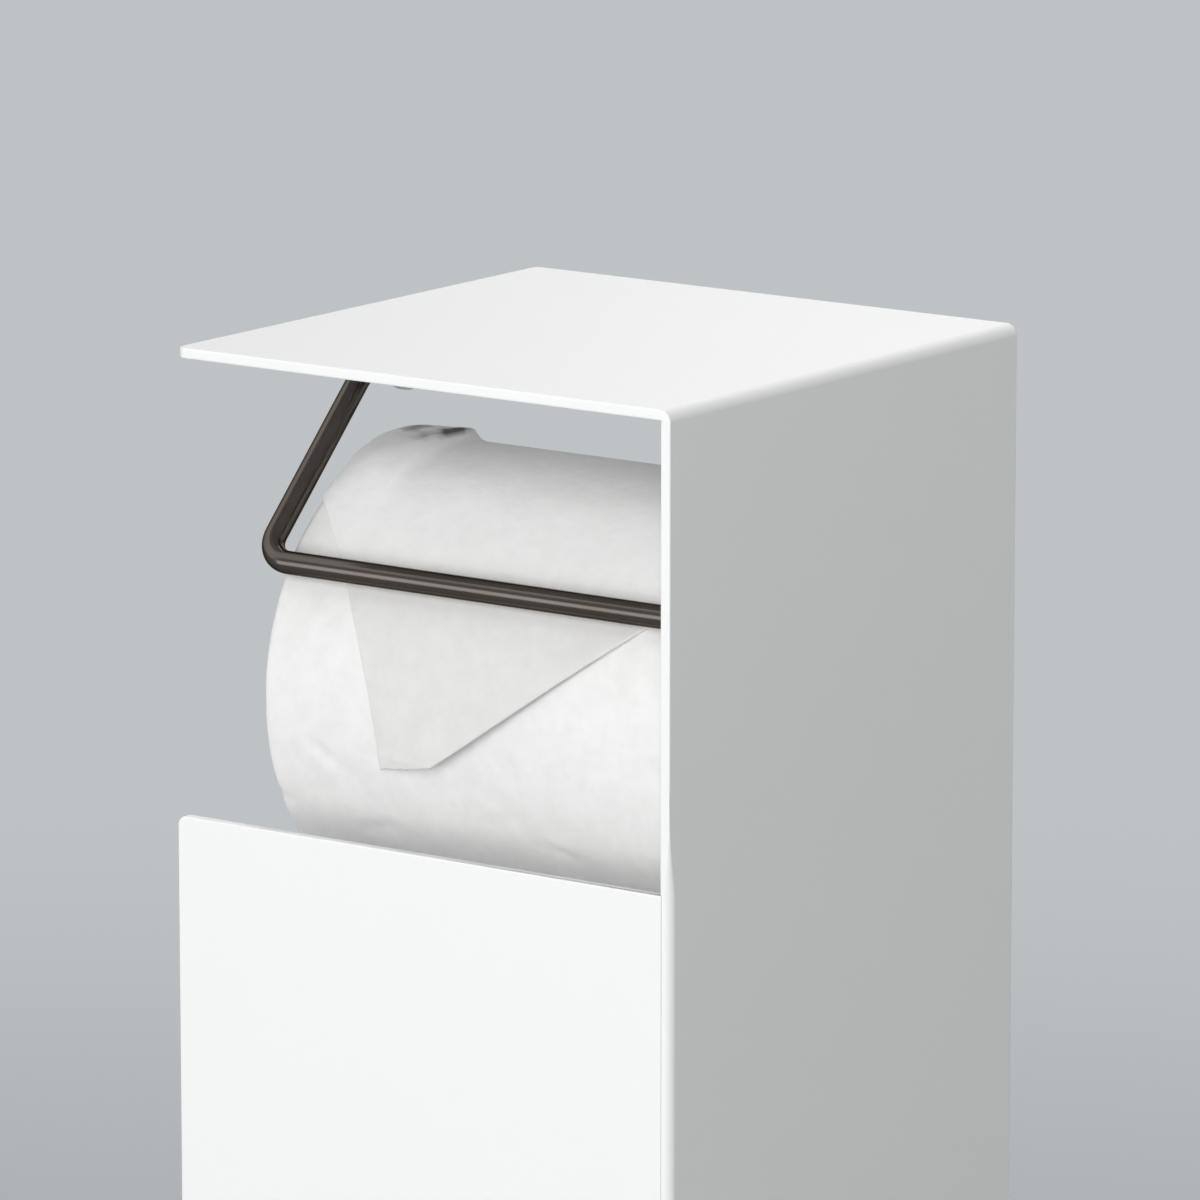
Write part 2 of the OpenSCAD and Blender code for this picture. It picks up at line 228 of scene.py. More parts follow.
def addPiece(name, bm, body, finish, node, crisp=True):
    mesh = bpy.data.meshes.new(name)
    bm.to_mesh(mesh)
    bm.free()
    mesh.shade_smooth()
    mesh.materials.append(finish.material)
    piece = bpy.data.objects.new(name, mesh)
    bpy.context.scene.collection.objects.link(piece)
    if crisp:
        mesh.set_sharp_from_angle(angle=sharpAngle)
        evenShading(piece)
    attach(piece, body)
    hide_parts(node)
    return piece


# Finishes

# A noise pattern is given as its scale per metre, its detail and its roughness. "rough" is the least
# roughness and what the pattern adds to it, and "relief" is a depth and a strength.

coatLook = {
    "dark": (0.885, 0.885, 0.878),
    "light": (0.905, 0.905, 0.9),
    "cloud": (9, 2, 0.5),                     # slow changes of tone
    "peel": (900, 3, 0.55),                   # the coating's soft waves
    "speck": (4200, 2, 0.6),                  # its fine grain
    "peelShare": 0.7,
    "rough": (0.46, 0.1),
    "relief": (0.05 * mm, 0.35),
}


def powderCoat():
    finish = Finish("whitePowderCoat")
    peel = finish.grain(coatLook["peel"])
    speck = finish.grain(coatLook["speck"])
    finish.colour(finish.grain(coatLook["cloud"]), coatLook)
    finish.polish(peel, coatLook)
    finish.relief(finish.mingle(peel, speck, coatLook["peelShare"]), coatLook)
    return finish


rodLook = {
    "dark": (0.098, 0.084, 0.074),
    "light": (0.13, 0.113, 0.1),
    "smudge": (45, 2, 0.5),
    "drawn": (260, 3, 0.6),
    "rough": (0.14, 0.08),
    "edgeTint": (0.35, 0.33, 0.3, 1),         # of what it mirrors at a flat angle
    "relief": (0.01 * mm, 0.3),
}


def darkSteel():
    finish = Finish("darkPolishedSteel")
    drawn = finish.grain(rodLook["drawn"])
    finish.colour(finish.grain(rodLook["smudge"]), rodLook)
    finish.polish(drawn, rodLook)
    finish.relief(drawn, rodLook)
    finish.set(Metallic=1.0, Specular_Tint=rodLook["edgeTint"])
    return finish


brushedLook = {
    "dark": (0.5, 0.49, 0.48),
    "light": (0.66, 0.65, 0.64),
    "lines": (1, 4, 0.65),
    "rough": (0.26, 0.16),
    "relief": (0.02 * mm, 0.4),
    "axle": (2600, 60, 60),                   # lines per metre on X, Y and Z
    "post": (60, 60, 2600),
    "bracket": (2400, 60, 2400),
}


def brushedSteel(name, along):
    finish = Finish(name)
    lines = finish.grain(brushedLook["lines"], finish.stretch(along))
    finish.colour(lines, brushedLook)
    finish.polish(lines, brushedLook)
    finish.relief(lines, brushedLook)
    finish.set(Metallic=1.0)
    return finish


zincLook = {
    "dark": (0.5, 0.5, 0.5),
    "light": (0.62, 0.62, 0.63),
    "crystals": 900,                          # per metre
    "rough": (0.32, 0.15),
}


def zincPlate():
    finish = Finish("zincPlate")
    crystals = finish.cells(zincLook["crystals"])
    finish.colour(crystals, zincLook)
    finish.polish(crystals, zincLook)
    finish.set(Metallic=1.0)
    return finish


plasticLook = {
    "dark": (0.018, 0.018, 0.019),
    "light": (0.03, 0.03, 0.031),
    "grain": (2500, 2, 0.5),
    "rough": (0.45, 0.12),
    "relief": (0.03 * mm, 0.5),
}
rubberLook = {
    "dark": (0.022, 0.022, 0.022),
    "light": (0.05, 0.05, 0.048),
    "grain": (700, 4, 0.7),
    "rough": (0.8, 0.1),
    "relief": (0.05 * mm, 0.5),
}


def grained(name, look):                      # one grain gives its tone, its gloss and its relief
    finish = Finish(name)
    grain = finish.grain(look["grain"])
    finish.colour(grain, look)
    finish.polish(grain, look)
    finish.relief(grain, look)
    return finish


boardLook = {
    "dark": (0.3, 0.235, 0.165),
    "light": (0.52, 0.43, 0.32),
    "fibre": (1, 4, 0.7),
    "fibreScale": (300, 1200, 1200),          # fibres per metre on X, Y and Z
    "pulp": (1600, 3, 0.6),
    "fibreShare": 0.6,
    "matt": 0.9,
    "relief": (0.08 * mm, 0.5),
}


def coreBoard():
    finish = Finish("greyBoard")
    fibre = finish.grain(boardLook["fibre"], finish.stretch(boardLook["fibreScale"]))
    pulp = finish.grain(boardLook["pulp"])
    finish.colour(finish.mingle(fibre, pulp, boardLook["fibreShare"]), boardLook)
    finish.relief(fibre, boardLook)
    finish.set(Roughness=boardLook["matt"])
    return finish


tissueLook = {
    "dark": (0.82, 0.812, 0.803),
    "light": (0.87, 0.864, 0.857),
    "dimples": 420,                           # per metre
    "fibre": (2600, 4, 0.7),
    "mottle": (150, 3, 0.6),
    "mottleShare": 0.8,                       # of its tone, and the dimples the rest
    "mottleRange": (0.3, 0.62),
    "dimpleShare": 0.7,                       # of its relief, and the fibre the rest
    "layers": 330,                            # wound layers per metre that show on the ends
    "layersWaver": 1.5,
    "layersDetail": (2.0, 3.0),               # detail and its scale
    "paperShare": 0.6,                        # of the roll's relief, and the layers the rest
    "matt": 0.95,
    "shine": 0.2,
    "relief": (0.26 * mm, 0.5),
}
tipLook = {
    "dark": (0.725, 0.716, 0.703),            # painted shade: the sheet below the bail's bar, given a darker tone
    "light": (0.768, 0.759, 0.748),
    "paintedLitDark": (0.865, 0.859, 0.852),          # painted light: the same sheet above the bar, given a paler tone
    "paintedLitLight": (0.905, 0.9, 0.893),
    "paintedLightAt": (0.543, 0.553),               # heights between which the painted shade turns into the painted light
    "crestShadeAt": (0.5718, 0.573),               # heights over which a painted shadow darkens the loose corner's rim
    "crestShadePatches": (130, 2, 0.5),
    "crestShadeRange": (0.4, 0.6),
    # the dark grey of that painted shadow
    "crestShadeTone": (0.13, 0.13, 0.128),
    "relief": (0.22 * mm, 0.45),
}


def tissue(name):                             # the paper, with the patterns of its relief and its tone
    finish = Finish(name)
    dimple = finish.cells(tissueLook["dimples"])
    fibre = finish.grain(tissueLook["fibre"])
    mottle = finish.grain(tissueLook["mottle"])
    tone = finish.mingle(mottle, dimple, tissueLook["mottleShare"])
    shade = finish.rise(tone, *tissueLook["mottleRange"])
    finish.set(Roughness=tissueLook["matt"], Specular_IOR_Level=tissueLook["shine"])
    return finish, finish.mingle(dimple, fibre, tissueLook["dimpleShare"]), shade


def rollPaper():
    finish, paper, shade = tissue("rollTissue")
    finish.colour(shade, tissueLook)
    centred = finish.node("ShaderNodeMapping", {}, {"Vector": finish.object, "Location": -rollCentre})
    detail, detailScale = tissueLook["layersDetail"]
    scale = tissueLook["layers"] / 20 * 2 * math.pi       # at a scale of 1, a ring is 2 pi / 20 wide
    rings = finish.node("ShaderNodeTexWave", {"wave_type": "RINGS", "rings_direction": "X"},
                        {"Vector": centred, "Scale": scale, "Distortion": tissueLook["layersWaver"],
                         "Detail": detail, "Detail Scale": detailScale})
    finish.relief(finish.mingle(paper, rings, tissueLook["paperShare"]), tissueLook)
    return finish


def tipPaper():                               # painted shade below the bail's bar and a painted shadow at the loose corner's rim, painted light above the bar
    finish, paper, shade = tissue("tipTissue")
    height = finish.node("ShaderNodeSeparateXYZ", {}, {0: finish.object}, "Z")
    # a shaded and a lit copy of the tone: painted shade below the bar, painted light above it
    low = finish.tint(shade, tipLook["dark"], tipLook["light"])
    high = finish.tint(shade, tipLook["paintedLitDark"], tipLook["paintedLitLight"])
    plain = finish.blend(finish.rise(height, *tipLook["paintedLightAt"]), low, high)
    # painted shadow in grey patches along the loose corner's rim
    shadePatches = finish.rise(finish.grain(tipLook["crestShadePatches"]), *tipLook["crestShadeRange"])
    crestShade = finish.rise(height, *tipLook["crestShadeAt"])
    finish.set(Base_Color=finish.blend(crestShade * shadePatches, plain, (*tipLook["crestShadeTone"], 1)))
    finish.relief(paper, tipLook)
    return finish


whiteCoat = powderCoat()
bailSteel = darkSteel()
axleSteel = brushedSteel("brushedAxle", brushedLook["axle"])
postSteel = brushedSteel("brushedPost", brushedLook["post"])
bracketSteel = brushedSteel("brushedBracket", brushedLook["bracket"])
zinc = zincPlate()
plastic = grained("blackPlastic", plasticLook)
rubber = grained("blackRubber", rubberLook)
board = coreBoard()
rollTissue = rollPaper()
tipTissue = tipPaper()
print("finishes ready")


# The folded sheet: the frame's own shape, with its front fold drawn again and its cut edges rounded

shell = {
    "fold": 2.9 * mm,                         # outer radius of the frame's folds
    "sheet": 2.6 * mm,                        # thickness, and outer radius of the fold that is drawn again
    "window": 110.9 * mm,                     # from the top face down to the front panel
    "runOut": 24 * mm,                        # over this height the front fold fades into the cut edge
    "runOutRows": 6,
    "runOutPower": 2,                         # how soon it fades
    "flat": 0.5,                              # degrees within which faces make one
    "edge": 0.45 * mm,                        # how far the coating rounds the cut edges
    "edgeSteps": 3,
    "inside": 5 * mm,                         # edges further in than this are screw holes, and stay sharp
}


def drawFold(bm):                             # the front fold again, round from the inner face on
    fold, sheet, rim = shell["fold"], shell["sheet"], shellHigh.z - shell["window"]
    corner = Vector((shellHigh.x, shellLow.y, 0))
    centre = corner + Vector((-fold, fold, 0))
    inner = corner + Vector((-sheet, sheet, 0))

    def onRound(v):
        return (abs((v.co.xy - centre.xy).length - fold) < near and v.co.x > centre.x - near
                and v.co.y < centre.y + near)

    def onLedge(v):
        return abs(v.co.z - rim) < near and v.co.x > inner.x - near and v.co.y < centre.y + near

    between = [v for v in bm.verts if onRound(v) and centre.x + near < v.co.x < corner.x - near]
    foot = min(v.co.z for v in between)       # the round starts here, with as many steps as the frame's
    steps = len([v for v in between if v.co.z < foot + near]) + 1
    rounded = [v for v in bm.verts if onRound(v) and v.co.z > foot - near]
    old = [f for f in bm.faces if all(v in rounded for v in f.verts) or all(onLedge(v) for v in f.verts)]
    bmesh.ops.delete(bm, geom=old, context="FACES")
    for v in rounded:
        if v.is_valid:
            v.co.xy = corner.xy + (v.co.xy - corner.xy) * sheet / fold
    start = Vector((inner.x, corner.y, rim))
    split = [v for v in bm.verts if (v.co - start).length < 2 * (fold - sheet)]   # moved apart at the rim
    bmesh.ops.pointmerge(bm, verts=split, merge_co=start)
    ends = [bm.verts.new((start.x, start.y, height)) for height in (foot, rim)]
    edge = bm.edges.new(ends)
    bmesh.ops.spin(bm, geom=ends + [edge], cent=inner, axis=(0, 0, 1), angle=quarter, steps=steps)
    bmesh.ops.remove_doubles(bm, verts=bm.verts, dist=2 * near)
    return corner, rim, steps


def runOutFold(bm, corner, rim, steps):       # draws the round on up the side's cut edge, until it fades
    for k in range(1, shell["runOutRows"] + 1):
        level = rim + shell["runOut"] * k / shell["runOutRows"]
        geom = bm.verts[:] + bm.edges[:] + bm.faces[:]
        bmesh.ops.bisect_plane(bm, geom=geom, plane_co=(0, 0, level), plane_no=(0, 0, 1))

    def onCorner(v):
        return (v.co.xy - corner.xy).length < near and rim - near < v.co.z < level + near

    line = [e for e in bm.edges if all(onCorner(v) for v in e.verts)]
    for v in roundOff(bm, line, shell["sheet"], steps):
        share = 1 - (v.co.z - rim) / shell["runOut"]
        edge = Vector((corner.x, corner.y, v.co.z))
        v.co = edge + (v.co - edge) * min(1, max(0, share)) ** shell["runOutPower"]
    bmesh.ops.remove_doubles(bm, verts=bm.verts, dist=2 * near)
    bmesh.ops.recalc_face_normals(bm, faces=bm.faces)


def makeShell():
    bm = bmesh.new()
    bm.from_mesh(frame["nodes"]["folded_shell"].data)
    bmesh.ops.remove_doubles(bm, verts=bm.verts, dist=near / 10)
    bmesh.ops.dissolve_limit(bm, angle_limit=math.radians(shell["flat"]), verts=bm.verts, edges=bm.edges)
    runOutFold(bm, *drawFold(bm))
    low, high, inside = shellLow, shellHigh, shell["inside"]

    def atHole(v):
        x, y = v.co.xy
        return low.x + inside < x < high.x - inside and low.y + inside < y < high.y - inside

    sharp = [e for e in bm.edges if e.calc_face_angle_signed() > sharpAngle]
    cutEdges = [e for e in sharp if not atHole(e.verts[0])]
    roundOff(bm, cutEdges, shell["edge"], shell["edgeSteps"])
    piece = addPiece("folded_sheet", bm, "stand", whiteCoat, "folded_shell", False)
    evenShading(piece)
    print("folded sheet made")


# The bail: a rod drawn from the pin's end round two bends to the middle of the front bar, then mirrored

bail = {
    "rod": 5.5 * mm,
    "leg": 59.5 * mm,                         # from the pivot to the centre of the front bar
    "bend": 7.5 * mm,
    "pin": 7.6 * mm,
    "sides": 40,
    "bendSteps": 14,
    "chamfer": 0.5 * mm,
    "chamferSteps": 2,
}


def makeBail():
    rodRadius, bend = bail["rod"] / 2, bail["bend"]
    halfWidth = (bailHigh.x - bailLow.x) / 2 - rodRadius
    middle = (bailHigh.x + bailLow.x) / 2
    drop = bailPivot.z - bailLow.z - rodRadius            # from the pivot down to the front bar's centre
    lift = math.asin(drop / bail["leg"])
    bm = bmesh.new()
    start = halfWidth - bend - bail["pin"]
    turn = Matrix.Translation((start, 0, 0)) @ sideways
    cap = bmesh.ops.create_circle(bm, cap_ends=True, segments=bail["sides"], radius=rodRadius, matrix=turn)
    edges = list({e for v in cap["verts"] for e in v.link_edges})
    edges = pull(bm, edges, (bail["pin"], 0, 0))
    edges = swing(bm, edges, (halfWidth - bend, -bend, 0), -quarter, bail["bendSteps"])
    edges = pull(bm, edges, (0, 2 * bend - bail["leg"], 0))
    edges = swing(bm, edges, (halfWidth - bend, bend - bail["leg"], 0), -quarter, bail["bendSteps"])
    pull(bm, edges, (bend - halfWidth, 0, 0))
    geom = bm.verts[:] + bm.edges[:] + bm.faces[:]
    bmesh.ops.mirror(bm, geom=geom, axis="X", merge_dist=near)
    bmesh.ops.recalc_face_normals(bm, faces=bm.faces)
    soften(bm, bail["chamfer"], bail["chamferSteps"])
    place(bm, (middle, bailPivot.y, bailPivot.z), Matrix.Rotation(lift, 4, "X"))
    addPiece("rod_bail", bm, "bail", bailSteel, "paper_bail")
    print("bail made")


# The roll: a wound ring of paper, uneven as soft paper is

roll = {
    "steps": 300,
    "rings": 84,                              # along its width
    "layers": 26,                             # across its end faces
    "edge": 2.1 * mm,
    "edgeSteps": 4,
    "firm": 1 * mm,                           # paper nearer than this to the core keeps its place
    "lump": 0.34 * mm,
    "lumpSize": 20 * mm,
    "sink": 0.204 * mm,                       # draws the paper in, so its lumps stay near the frame's roll
    "ripple": 0.13 * mm,
    "rippleSize": 5 * mm,
    "wrinkle": 0.16 * mm,                     # upright wrinkles, across the roll and round it
    "wrinkleSize": (3.5 * mm, 30 * mm),
    "stagger": 0.3 * mm,                      # how unevenly the layers end
    "staggerSize": (1.3 * mm, 60 * mm),       # across the layers and round the roll
    "staggerSeed": 3,
    "dentDepth": 0.55 * mm,
    "dentWidth": 1.6 * mm,
    "dents": [                                # from and to: across the roll, and degrees up round it
        ((14.0 * mm, -9.2), (20.3 * mm, -14.0)),
        ((0.1 * mm, -25.3), (3.6 * mm, -27.7)),
        ((24.0 * mm, -33.0), (31.0 * mm, -31.0)),
        ((78.0 * mm, -29.0), (84.0 * mm, -31.5)),
        ((49.1 * mm, 80.4), (62.3 * mm, 78.2)),
    ],
}


def rollProfile():
    edge, steps, half = roll["edge"], roll["edgeSteps"], rollWidth / 2
    flat = rollRadius - edge                  # outer radius of the flat end faces
    face = [coreRadius + (flat - coreRadius) * k / roll["layers"] for k in range(roll["layers"])]
    arc = [quarter * k / steps for k in range(steps + 1)]
    points = [(r, -half) for r in face]
    points += [(flat + edge * math.sin(a), edge - half - edge * math.cos(a)) for a in arc]
    points += [(rollRadius, (half - edge) * (2 * k / roll["rings"] - 1)) for k in range(1, roll["rings"])]
    points += [(flat + edge * math.cos(a), half - edge + edge * math.sin(a)) for a in arc]
    points += [(r, half) for r in reversed(face)]
    return points + [points[0]]


def dentAt(across, arc):                      # depth of the pressed lines at a place on the unrolled paper
    depth = 0
    for (x0, a0), (x1, a1) in roll["dents"]:
        start = Vector((x0, math.radians(a0) * rollRadius))
        reach = Vector((x1, math.radians(a1) * rollRadius)) - start
        share = min(1, max(0, (Vector((across, arc)) - start).dot(reach) / reach.length_squared))
        gap = (Vector((across, arc)) - start - reach * share).length
        depth = max(depth, roll["dentDepth"] * math.exp(-(gap / roll["dentWidth"]) ** 2))
    return depth


def wrinkles(across, arc):
    size, long = roll["wrinkleSize"]
    return noise.noise(Vector((across / size, arc / long, 0))) * roll["wrinkle"]


def unevenness(across, arc, spot):
    lump = noise.noise(spot / roll["lumpSize"]) * roll["lump"]
    ripple = noise.noise(spot / roll["rippleSize"]) * roll["ripple"]
    return lump + ripple + wrinkles(across, arc) - roll["sink"] - dentAt(across, arc)


def layerEnd(radius, arc, end):               # how far a layer stops short of an end, 1 or -1
    size, long = roll["staggerSize"]
    layer = noise.noise(Vector((radius / size, roll["staggerSeed"] * end, arc / long)))
    return roll["stagger"] * abs(0.5 + layer)


def makeRoll():
    bm = turned(rollProfile(), roll["steps"])
    place(bm, Vector(), sideways)
    half = rollWidth / 2
    for v in bm.verts:
        radius = v.co.yz.length
        if radius > coreRadius + roll["firm"]:
            arc = math.atan2(v.co.z, -v.co.y) * rollRadius
            push = unevenness(v.co.x + half, arc, v.co)
            fade = (radius / rollRadius) ** 2             # the paper is firmer towards the core
            v.co += Vector((0, v.co.y, v.co.z)).normalized() * push * fade
            if abs(v.co.x) > half - 10 * near:
                end = math.copysign(1, v.co.x)
                v.co.x -= end * layerEnd(radius, arc, end)
    place(bm, rollCentre)
    addPiece("wound_paper", bm, "roll", rollTissue, "paper_roll", False)
    print("roll made")


# The folded end of the paper: a flat grid, laid on the roll by how far across and up round it a point lies

tip = {
    "across": 84,                             # cells over the width that shows
    "under": 8,                               # cells over each strip that is folded under
    "round": 4,                               # cells round each fold
    "along": 150,
    "alongPower": 1.15,                       # over 1, the rows lie closer at the point
    "leftFoot": (34.8 * mm, -12.0 * mm),      # corner of the blunt point: across the roll, and up round it
    "rightFoot": (51.0 * mm, -8.6 * mm),
    "leftSlope": 0.06,                        # the left fold bows away to the left as it climbs
    "leftBow": 7.4,
    "rightSlope": 0.6,                        # the right fold climbs, steeper as it goes
    "rightBow": 2.1,
    "sideGap": 0.6 * mm,                      # least distance from the roll's ends
    "top": 97 * mm,                           # where the sheet joins the roll
    "joinOver": 12 * mm,                      # over this length it comes down on the roll there
    "strip": 9 * mm,
    "stripRise": 1.6 * mm,                    # the strips' ends lie this far above the blunt edge
    "rest": 0.5 * mm,                         # height of the outer layer over the roll
    "restFrom": (-2 * mm, 4 * mm),            # distances in from the roll's ends over which it rises
    "soft": 0.14 * mm,                        # slow waves of the sheet
    "softSize": 9 * mm,
    "wrinkles": 0.8,                          # share of the roll's wrinkles that it takes up
    "fold": 0.15 * mm,                        # least and largest radius of the folds
    "foldMost": 0.35 * mm,
    "foldClear": 0.2 * mm,                    # the larger folds stay this far off the roll
    "lift": 3.3 * mm,                         # how far the right fold stands off at its foot
    "liftReach": 13 * mm,                     # how far in from the right fold the lift fades
    "liftClimb": 41 * mm,                     # how far up the lift fades
    "liftPower": 1.1,
    "footWave": 0.5 * mm,                     # unevenness of the blunt edge
    "footWaveSize": 1.7 * mm,
    "footRows": 2,                            # rows that take part in it
    "buckle": 2.9 * mm,                       # the sheet's top left corner stands off, with a ragged rim
    "buckleLeft": 0.75,                       # share of that height at the roll's left end
    "buckleRight": 19.5 * mm,
    "buckleSide": 3 * mm,                     # over this width it comes down at its right
    "buckleFrom": 50,                         # degrees up round the roll where it starts to stand off,
    "buckleFull": 84,                         # where it stands off fully,
    "buckleOver": 96,                         # where it starts to come down
    "buckleEnd": 99,                          # and where it is down
    "ragged": 0.55 * mm,
    "raggedSize": (2.6 * mm, 9 * mm),         # across the roll, and up round it
    "raggedSeed": 5,
    "paper": 0.14 * mm,
}


def smooth(low, high, value):
    share = min(1, max(0, (value - low) / (high - low)))
    return share * share * (3 - 2 * share)


def leftFold(up):
    x, foot = tip["leftFoot"]
    rise = up - foot
    return max(tip["sideGap"], x - tip["leftSlope"] * rise - tip["leftBow"] * rise * rise)


def rightFold(up):
    x, foot = tip["rightFoot"]
    slope, bow, rise = tip["rightSlope"], tip["rightBow"], max(0, up - foot)
    run = (math.sqrt(slope * slope + 4 * bow * rise) - slope) / (2 * bow)
    return min(rollWidth - tip["sideGap"], x + run)


def buckle(across, up):                       # the loose corner of the sheet at the top left
    degrees = math.degrees(up / rollRadius)
    right, (size, long) = tip["buckleRight"], tip["raggedSize"]
    rise = smooth(tip["buckleFrom"], tip["buckleFull"], degrees)
    fall = 1 - smooth(tip["buckleOver"], tip["buckleEnd"], degrees)
    side = 1 - smooth(right - tip["buckleSide"], right, across)
    crumple = noise.noise(Vector((across / size, up / long, tip["raggedSeed"]))) * tip["ragged"]
    slant = tip["buckleLeft"] + (1 - tip["buckleLeft"]) * smooth(0, right, across)
    return rise * fall * side * (tip["buckle"] * slant + crumple)


def tipHeight(up, across):                    # of the sheet over the roll
    climb = min(1, max(0, (up - tip["rightFoot"][1]) / tip["liftClimb"]))
    inward = (rightFold(up) - across) / tip["liftReach"]
    lift = tip["lift"] * (1 - climb) ** tip["liftPower"] * math.exp(-inward * inward)
    wave = noise.noise(Vector((across, up, 0)) / tip["softSize"]) * tip["soft"]
    wave += wrinkles(across, up) * tip["wrinkles"]
    top = smooth(0, tip["joinOver"], tip["top"] - up)
    ends = smooth(*tip["restFrom"], min(across, rollWidth - across))
    return (tip["rest"] * ends + wave) * top + lift + buckle(across, up)


def foldRadius(side, height):                 # the right fold is rounder where it stands off
    if side < 0:
        return tip["fold"]
    return min(tip["foldMost"], max(tip["fold"], (height - tip["foldClear"]) / 2))


def tipPoint(column, row):                    # across, up and height of a point of the grid
    under, turnCells, across = tip["under"], tip["round"], tip["across"]
    climb = (row / tip["along"]) ** tip["alongPower"]
    leftUp = tip["leftFoot"][1] + (tip["top"] - tip["leftFoot"][1]) * climb
    rightUp = tip["rightFoot"][1] + (tip["top"] - tip["rightFoot"][1]) * climb
    left, right = leftFold(leftUp), rightFold(rightUp)
    k = column - under - turnCells            # 0 to across is the layer that shows
    w = min(1, max(0, k / across))
    x, up = left + (right - left) * w, leftUp + (rightUp - leftUp) * w
    height = tipHeight(up, x)
    beyond = max(-k, k - across)
    if beyond > 0:
        side = -1 if w == 0 else 1
        radius = foldRadius(side, height)
        turn = min(1, beyond / turnCells) * 2 * quarter
        inward = max(0, beyond - turnCells) / under
        spare = left if side < 0 else rollWidth - right
        x -= side * inward * min(tip["strip"], spare)
        up += tip["stripRise"] * inward * (1 - row / tip["along"])
        height = tipHeight(up, x) + radius * (math.cos(turn) - 1)
        x += side * radius * math.sin(turn)
    return x, up, height


def makeTip():
    columns, rows, waved = 2 * (tip["under"] + tip["round"]) + tip["across"], tip["along"], tip["footRows"]
    bm = bmesh.new()
    bmesh.ops.create_grid(bm, x_segments=columns, y_segments=rows, size=0.5)
    for v in bm.verts:
        column, row = round((v.co.x + 0.5) * columns), round((v.co.y + 0.5) * rows)
        x, up, height = tipPoint(column, row)
        if row < waved:
            up += noise.noise(Vector((x, 0, 0)) / tip["footWaveSize"]) * tip["footWave"] * (1 - row / waved)
        angle = up / rollRadius
        radius = rollRadius + height
        v.co = Vector((rollLow.x + x, -radius * math.cos(angle), rollCentre.z + radius * math.sin(angle)))
    bmesh.ops.recalc_face_normals(bm, faces=bm.faces)
    piece = addPiece("folded_tip", bm, "roll", tipTissue, "paper_tip", False)
    layer = piece.modifiers.new("paper", "SOLIDIFY")
    layer.thickness = tip["paper"]
    layer.offset = 0
    print("folded tip made")


# The core, the axle and the post

core = {"wall": 1.2 * mm, "edge": 0.3 * mm, "steps": 96}
tube = {"wall": 1.5 * mm, "edge": 0.25 * mm, "steps": 96}


def ring(size, outer, length):
    inner = outer - size["wall"]
    bm = turned([(inner, 0), (outer, 0), (outer, length), (inner, length), (inner, 0)], size["steps"])
    soften(bm, size["edge"])
    return bm


def makeCore():
    bm = ring(core, coreRadius, rollWidth)
    place(bm, (coreLow.x, rollCentre.y, rollCentre.z), sideways)
    addPiece("board_core", bm, "roll", board, "roll_core")
    print("core made")


def makeTube(name, node, finish, upright):
    low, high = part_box(node)
    size, centre = high - low, (low + high) / 2
    if upright:
        radius, length, spot, turn = size.x / 2, size.z, (centre.x, centre.y, low.z), Matrix()
    else:
        radius, length, spot, turn = size.z / 2, size.x, (low.x, centre.y, centre.z), sideways
    bm = ring(tube, radius, length)
    place(bm, spot, turn)
    addPiece(name, bm, "stand", finish, node)
    print(name, "made")


# Everything that keeps its CAD shape takes a finish of its own

kept = {
    "ballast_plate": whiteCoat, "ballast_screws": zinc, "floor_pads": rubber, "post_insert": zinc,
    "post_bolt": zinc, "post_cap": plastic, "axle_stud": zinc, "axle_insert": zinc, "axle_cap": plastic,
    "left_bracket": bracketSteel, "right_bracket": bracketSteel, "pivot_bushes": plastic,
    "bracket_studs": zinc, "bracket_nuts": zinc,
}

makeShell()
makeBail()
makeRoll()
makeTip()
makeCore()
makeTube("post_pipe", "post_tube", postSteel, True)
makeTube("axle_pipe", "axle_tube", axleSteel, False)
for node, finish in kept.items():
    mesh = frame["nodes"][node].data
    mesh.materials.clear()
    mesh.materials.append(finish.material)
print("pieces made")


# The stage: a pale floor, soft light and the camera

stage = {
    "backdrop": (0.515, 0.54, 0.553, 1),
    "floorRadius": 14.0,
    "floorSides": 128,
    "fade": (0.9, 2.2),                       # distances between which the floor turns into the backdrop
    "matt": 0.9,
    "shine": 0.1,
    "worldLight": (1.0, 1.0, 1.0, 1),
    "worldStrength": 0.02,
}
lamps = {                                     # azimuth, elevation, distance, size and power of each softbox
    "front": (17, 15, 3.0, 2.4, 69),
    "left": (-78, 32, 3.0, 2.8, 18),
    "over": (60, 70, 2.4, 1.6, 25),
    "back": (-165, 30, 3.0, 2.4, 38),
    "glint": (-36, 1, 2.6, 1.15, 8),          # shows as the pale line along the rod
}
view = {
    "azimuth": 35.98,
    "elevation": 11.56,
    "distance": 2.0925,
    "aim": (0.00045, 0.0, 0.5372),
    "focalPixels": 8954,                      # for an image 1200 pixels wide
    "imageWidth": 1200,
    "sensor": 36,
    "clipEnd": 100,
}


def aimFrom(thing, azimuth, elevation, distance):         # azimuth is 0 in front, + to the right
    a, e = math.radians(azimuth), math.radians(elevation)
    target = Vector(view["aim"])
    spot = target + Vector((math.sin(a) * math.cos(e), -math.cos(a) * math.cos(e), math.sin(e))) * distance
    thing.location = spot
    thing.rotation_mode = "QUATERNION"
    thing.rotation_quaternion = (target - spot).to_track_quat("-Z", "Y")
    bpy.context.scene.collection.objects.link(thing)


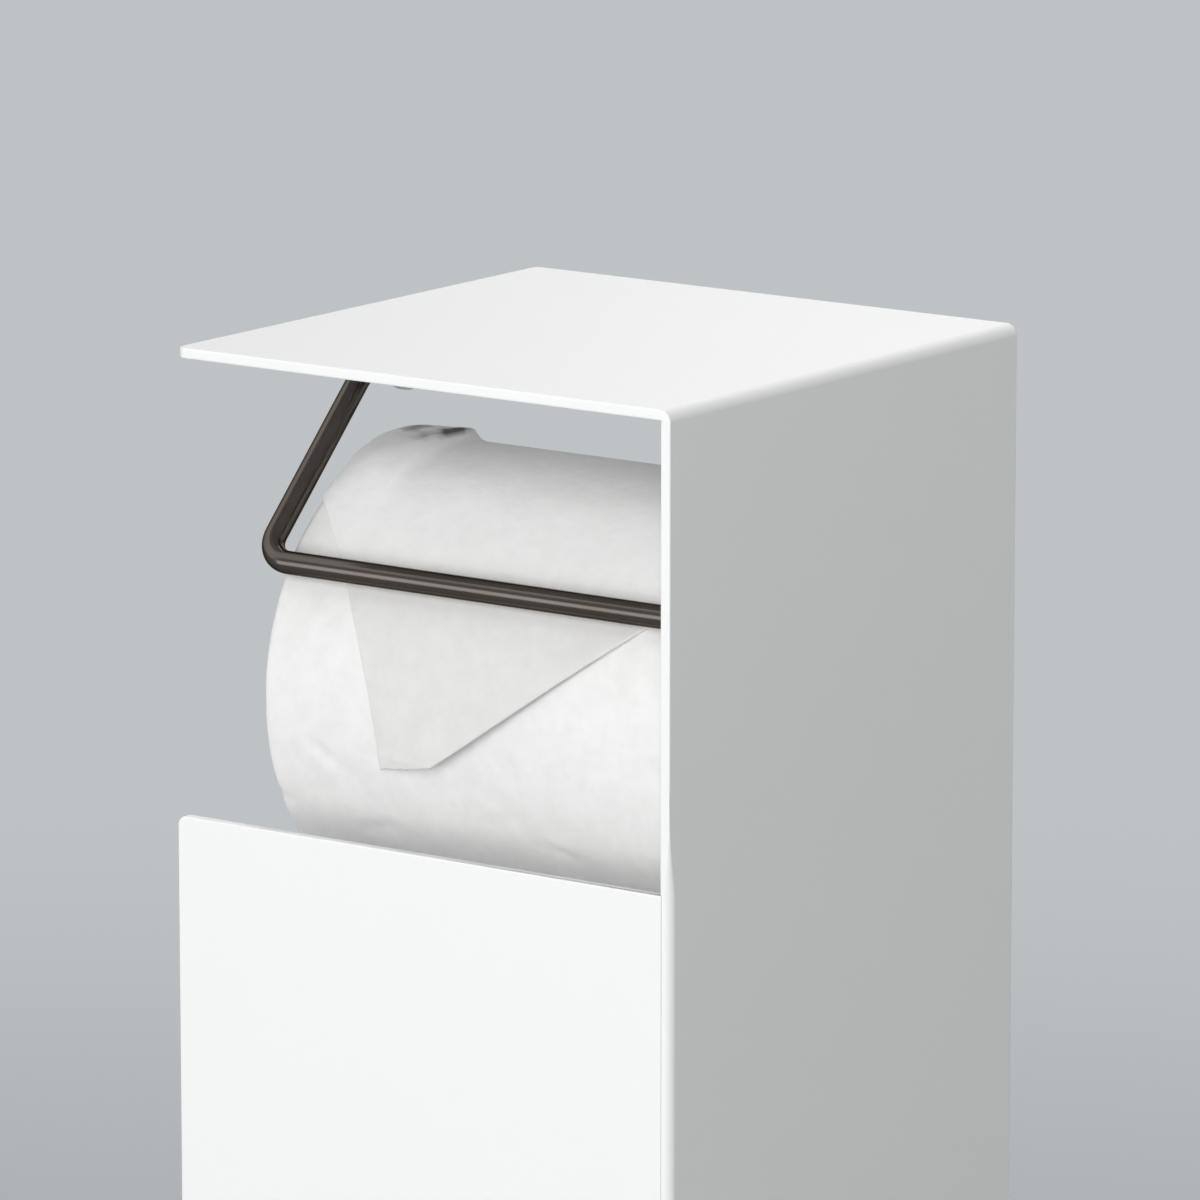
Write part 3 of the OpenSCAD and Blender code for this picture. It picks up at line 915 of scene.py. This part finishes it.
def makeFloor():
    finish = Finish("paleFloor")
    distance = finish.node("ShaderNodeVectorMath", {"operation": "LENGTH"}, {0: finish.object}, "Value")
    start, end = stage["fade"]
    fade = finish.node("ShaderNodeMapRange", {"interpolation_type": "SMOOTHSTEP"},
                       {"Value": distance, "From Min": start, "From Max": end})
    finish.set(Base_Color=stage["backdrop"], Roughness=stage["matt"], Specular_IOR_Level=stage["shine"])
    close = Wire(finish, finish.shader.outputs[0])
    far = finish.node("ShaderNodeEmission", {}, {"Color": stage["backdrop"], "Strength": 1.0})
    mixed = finish.node("ShaderNodeMixShader", {}, {0: fade, 1: close, 2: far})
    finish.plug(finish.nodes["Material Output"].inputs["Surface"], mixed)
    bm = bmesh.new()
    bmesh.ops.create_circle(bm, cap_ends=True, segments=stage["floorSides"], radius=stage["floorRadius"])
    mesh = bpy.data.meshes.new("floor")
    bm.to_mesh(mesh)
    bm.free()
    mesh.materials.append(finish.material)
    floor = bpy.data.objects.new("floor", mesh)
    bpy.context.scene.collection.objects.link(floor)


def makeWorld():                              # the backdrop where it is seen, and faint as a light
    world = bpy.data.worlds.new("softRoom")
    bpy.context.scene.world = world
    room = Tree(world)
    faint = room.nodes["Background"]
    room.plug(faint.inputs["Color"], stage["worldLight"])
    room.plug(faint.inputs["Strength"], stage["worldStrength"])
    plain = room.node("ShaderNodeBackground", {}, {"Color": stage["backdrop"], "Strength": 1.0})
    seen = room.node("ShaderNodeLightPath", {}, {}, "Is Camera Ray")
    for ray in ("Is Glossy Ray", "Is Transmission Ray"):
        seen = room.sum("MAXIMUM", seen, room.node("ShaderNodeLightPath", {}, {}, ray))
    mixed = room.node("ShaderNodeMixShader", {}, {0: seen, 1: Wire(room, faint.outputs[0]), 2: plain})
    room.plug(room.nodes["World Output"].inputs["Surface"], mixed)


def makeLamps():
    for name, (azimuth, elevation, distance, size, power) in lamps.items():
        data = bpy.data.lights.new(name + "Softbox", "AREA")
        data.shape = "SQUARE"
        data.size = size
        data.energy = power
        aimFrom(bpy.data.objects.new(name + "Softbox", data), azimuth, elevation, distance)


def makeCamera():
    data = bpy.data.cameras.new("camera")
    data.sensor_width = view["sensor"]
    data.lens = view["focalPixels"] / view["imageWidth"] * view["sensor"]
    data.clip_end = view["clipEnd"]
    camera = bpy.data.objects.new("camera", data)
    aimFrom(camera, view["azimuth"], view["elevation"], view["distance"])
    bpy.context.scene.camera = camera


makeFloor()
makeWorld()
makeLamps()
makeCamera()
bpy.context.scene.view_settings.view_transform = "Standard"
print("stage ready")
